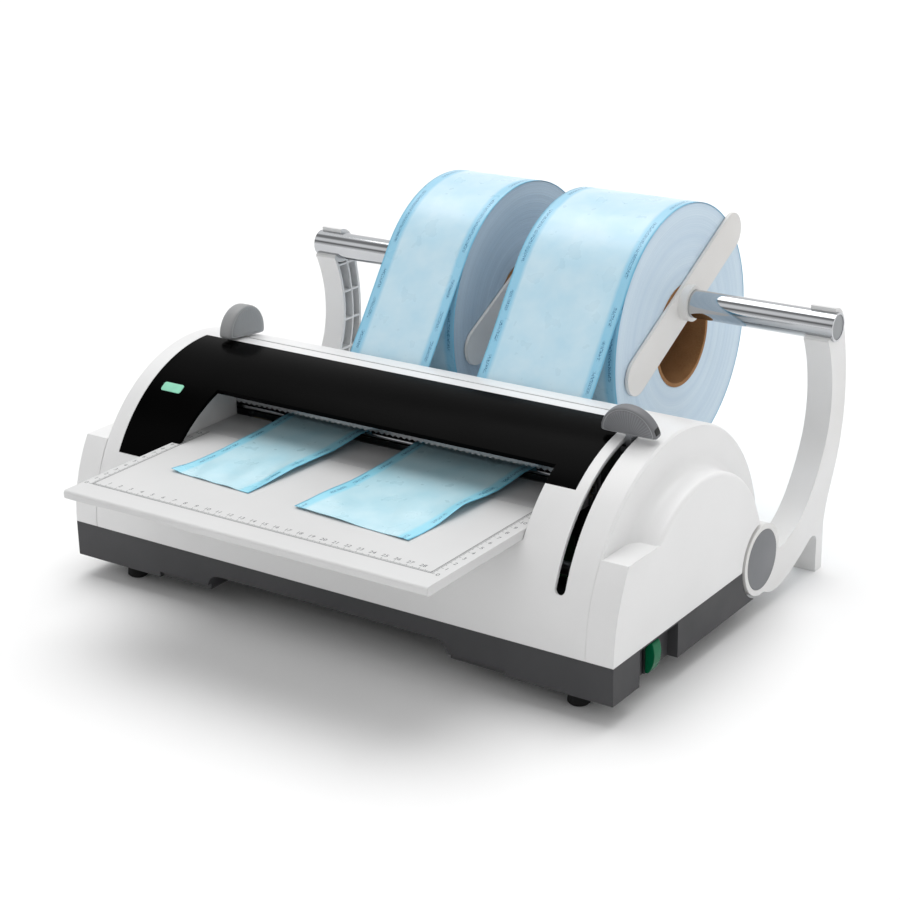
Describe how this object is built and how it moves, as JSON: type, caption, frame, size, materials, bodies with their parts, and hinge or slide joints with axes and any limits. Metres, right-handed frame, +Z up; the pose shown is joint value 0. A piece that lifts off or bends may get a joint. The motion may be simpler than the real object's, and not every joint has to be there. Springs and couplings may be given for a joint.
{
  "type": "foil sealer",
  "caption": "Bench sealer for sterilising pouches: half-round housing with pull-down sealing handle, sliding cutter, ruler tray and a rod of film rolls on two arms.",
  "frame": {"origin": "centre of the overall box in X and Y, on the table under the feet", "axes": "+X to the right seen from the front, +Y to the back, +Z up; the front with the tray faces -Y"},
  "size_m": [0.48, 0.5115, 0.2666],
  "materials": {
    "housing_white": "satin moulded",
    "base_grey": "fine moulded grain",
    "cover_black": "polished",
    "smoked": "polished, smoked",
    "lens_green": "translucent",
    "tray_white": "fine satin",
    "knob_grey": "satin",
    "rubber_black": "matt",
    "steel": "brushed",
    "steel_edge": "polished edge",
    "chrome_tube": "bright",
    "aluminium_bar": "milled",
    "bronze": "turned",
    "silicone": "matt",
    "tape": "coated cloth",
    "insulator": "fired",
    "nylon": "natural",
    "switch_black": "fine",
    "switch_green": "translucent",
    "board_green": "solder mask",
    "laminations": "varnished",
    "copper": "enamelled",
    "card": "wound board",
    "film_blue": "clear film on paper, wound"
  },
  "bodies": {
    "machine": {"base_tub": "base_grey", "upper_housing": "housing_white", "front_cover": "cover_black", "indicator_lens": "lens_green", "lamp_board": "board_green", "table_plate": "tray_white", "ruler_tray": "tray_white", "rubber_feet": "rubber_black", "base_screws": "steel", "shaft_bushes": "bronze", "side_frames": "steel", "return_springs": "steel", "heater_bar": "aluminium_bar", "heater_element": "steel", "heater_tape": "tape", "thermostat": "switch_black", "heater_insulators": "insulator", "end_brackets": "steel", "exit_bar": "chrome_tube", "feed_guide": "steel", "tear_guard": "smoked", "tear_edge": "steel_edge", "cutter_rail": "aluminium_bar", "cut_bed": "nylon", "switch_body": "switch_black", "mains_inlet": "switch_black", "inlet_pins": "steel", "fuse_holder": "switch_black", "control_board": "board_green", "board_parts": "switch_black", "transformer_core": "laminations", "transformer_coil": "copper", "end_switch": "switch_black", "arm_right": "housing_white", "arm_left": "housing_white", "hub_caps": "knob_grey", "hub_screws": "steel", "roll_rod": "chrome_tube", "rod_plugs": "knob_grey", "film_web_a": "film_blue", "pouch_a": "film_blue", "film_web_b": "film_blue", "pouch_b": "film_blue"},
    "press_lever": {"seal_handle": "knob_grey", "handle_lever": "steel", "lever_shaft": "steel", "shaft_cranks": "steel"},
    "pressure_bar": {"pressure_bar": "aluminium_bar", "silicone_pad": "silicone", "bar_yokes": "steel"},
    "cutter": {"cutter_carriage": "nylon", "cutter_blade": "steel_edge", "cutter_knob": "knob_grey"},
    "power_rocker": {"power_rocker": "switch_green"},
    "roll_a": {"core_a": "card", "film_roll_a": "film_blue"},
    "roll_b": {"core_b": "card", "film_roll_b": "film_blue"},
    "divider_a": {"divider_a": "housing_white"},
    "divider_b": {"divider_b": "housing_white"}
  },
  "joints": [
    {"name": "press_lever_hinge", "type": "hinge", "parent": "machine", "child": "press_lever", "pos_m": [0, -0.04425, 0.044], "axis": [1, 0, 0], "range_deg": [0, 52.5], "stiffness_Nm_per_rad": 0.6, "springref_deg": -51.57},
    {"name": "pressure_bar_slide", "type": "slide", "parent": "machine", "child": "pressure_bar", "axis": [0, 0, -1], "range_m": [0, 0.01065], "deforming": ["return_springs"]},
    {"name": "cutter_slide", "type": "slide", "parent": "machine", "child": "cutter", "axis": [1, 0, 0], "range_m": [0, 0.354]},
    {"name": "power_rocker_hinge", "type": "hinge", "parent": "machine", "child": "power_rocker", "pos_m": [0.2265, -0.1075, 0.0292], "axis": [0, -1, 0], "range_deg": [0, 14]},
    {"name": "roll_a_spin", "type": "hinge", "parent": "machine", "child": "roll_a", "pos_m": [-0.0706, 0.15275, 0.1636], "axis": [1, 0, 0], "continuous": true},
    {"name": "roll_b_spin", "type": "hinge", "parent": "machine", "child": "roll_b", "pos_m": [0.0609, 0.15275, 0.1636], "axis": [1, 0, 0], "continuous": true},
    {"name": "divider_a_slide", "type": "slide", "parent": "machine", "child": "divider_a", "axis": [1, 0, 0], "range_m": [0, 0.033]},
    {"name": "divider_b_slide", "type": "slide", "parent": "machine", "child": "divider_b", "axis": [1, 0, 0], "range_m": [0, 0.096]}
  ],
  "couplings": [
    {"joint": "pressure_bar_slide", "follows": "press_lever_hinge", "m_per_rad": 0.011585}
  ]
}
